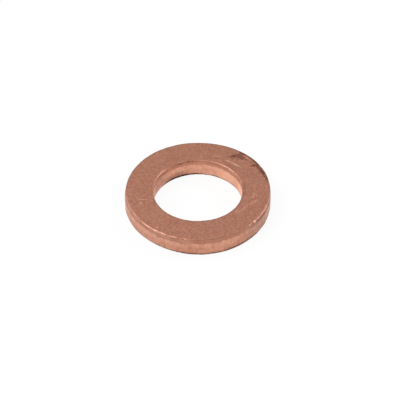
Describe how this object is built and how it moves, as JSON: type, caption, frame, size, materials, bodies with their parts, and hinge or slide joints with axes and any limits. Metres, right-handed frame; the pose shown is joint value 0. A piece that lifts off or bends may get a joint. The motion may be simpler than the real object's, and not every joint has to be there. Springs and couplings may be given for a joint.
{
  "type": "copper crush washer",
  "caption": "Flat annealed copper ring with blanked, slightly drawn-in edges, squeezed under a bolt head or banjo fitting to seal a threaded port.",
  "frame": {"origin": "centre of the bore on the lower sealing face, which the ring lies on", "axes": "+Z along the bore axis, up out of the upper sealing face; the ring is round about Z"},
  "size_m": [0.0164, 0.0164, 0.0022],
  "materials": {
    "copper": "dull rolled copper faces with brighter sheared walls, lightly tarnished and scratched"
  },
  "bodies": {
    "root": {"washer": "copper"}
  },
  "joints": []
}
